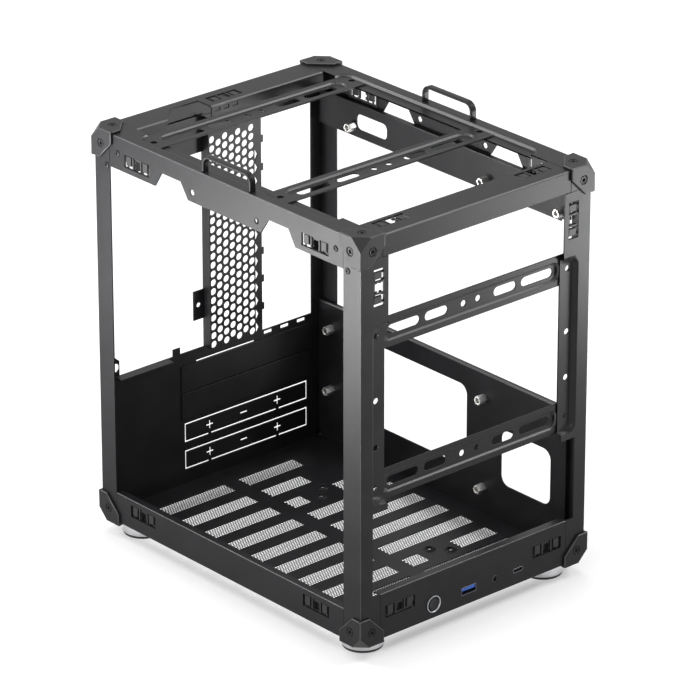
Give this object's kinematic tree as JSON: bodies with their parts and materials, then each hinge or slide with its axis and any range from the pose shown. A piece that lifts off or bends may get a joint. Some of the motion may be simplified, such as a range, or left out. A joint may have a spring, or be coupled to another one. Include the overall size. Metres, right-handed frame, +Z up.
{
  "type": "mini_tower_computer_case",
  "caption": "Mini-tower computer case with its panels off: an open frame of folded black sheet steel with corner blocks, fan brackets, board tray, strap loops, round feet and front ports.",
  "frame": {"origin": "on the floor plane under the rubber pads, at the middle of the case's width and depth", "axes": "+Z is up; -Y is the front with the ports and power button; -X is the open left side and +X the board-tray side"},
  "size_m": [0.202, 0.2666, 0.3048],
  "materials": {
    "frame_paint": "satin black powder coat on folded sheet steel",
    "block_paint": "satin black coat on the corner blocks",
    "clip_black": "black moulded plastic",
    "standoff_nickel": "nickel-plated turned brass",
    "button_ring": "bright turned ring",
    "button_black": "smooth dark plastic",
    "shell_steel": "drawn steel shell",
    "tongue_blue": "blue moulded plastic",
    "port_black": "black moulded plastic",
    "board_green": "coated circuit board",
    "foot_chrome": "bright plated disc",
    "foot_rubber": "soft black rubber"
  },
  "bodies": {
    "case_frame": {"audio_jack": "port_black", "board_standoffs": "standoff_nickel", "corner_block_bottom_front_left": "block_paint", "corner_block_bottom_front_right": "block_paint", "corner_block_bottom_rear_left": "block_paint", "corner_block_bottom_rear_right": "block_paint", "corner_block_top_front_left": "block_paint", "corner_block_top_front_right": "block_paint", "corner_block_top_rear_left": "block_paint", "corner_block_top_rear_right": "block_paint", "floor_pan": "frame_paint", "foot_pads": "foot_rubber", "foot_rings": "foot_chrome", "front_fan_bracket_lower": "frame_paint", "front_fan_bracket_upper": "frame_paint", "io_board": "board_green", "panel_clips": "clip_black", "post_front_left": "frame_paint", "post_front_right": "frame_paint", "post_rear_left": "frame_paint", "post_rear_right": "frame_paint", "power_button_bezel": "button_ring", "power_switch_body": "shell_steel", "rear_panel": "frame_paint", "slot_cover_1": "frame_paint", "slot_cover_2": "frame_paint", "strap_loops": "frame_paint", "top_fan_bracket_front": "frame_paint", "top_fan_bracket_rear": "frame_paint", "top_rail_front": "frame_paint", "top_rail_left": "frame_paint", "top_rail_rear": "frame_paint", "top_rail_right": "frame_paint", "tray_lower": "frame_paint", "tray_upper": "frame_paint", "usb_a_shell": "shell_steel", "usb_a_tongue": "tongue_blue", "usb_c_shell": "shell_steel", "usb_c_tongue": "port_black"},
    "power_button": {"power_button_cap": "button_black"}
  },
  "joints": [
    {"name": "power_button_press", "type": "slide", "parent": "case_frame", "child": "power_button", "axis": [0, 1, 0], "range_m": [0, 0.0012], "stiffness_N_per_m": 400}
  ]
}
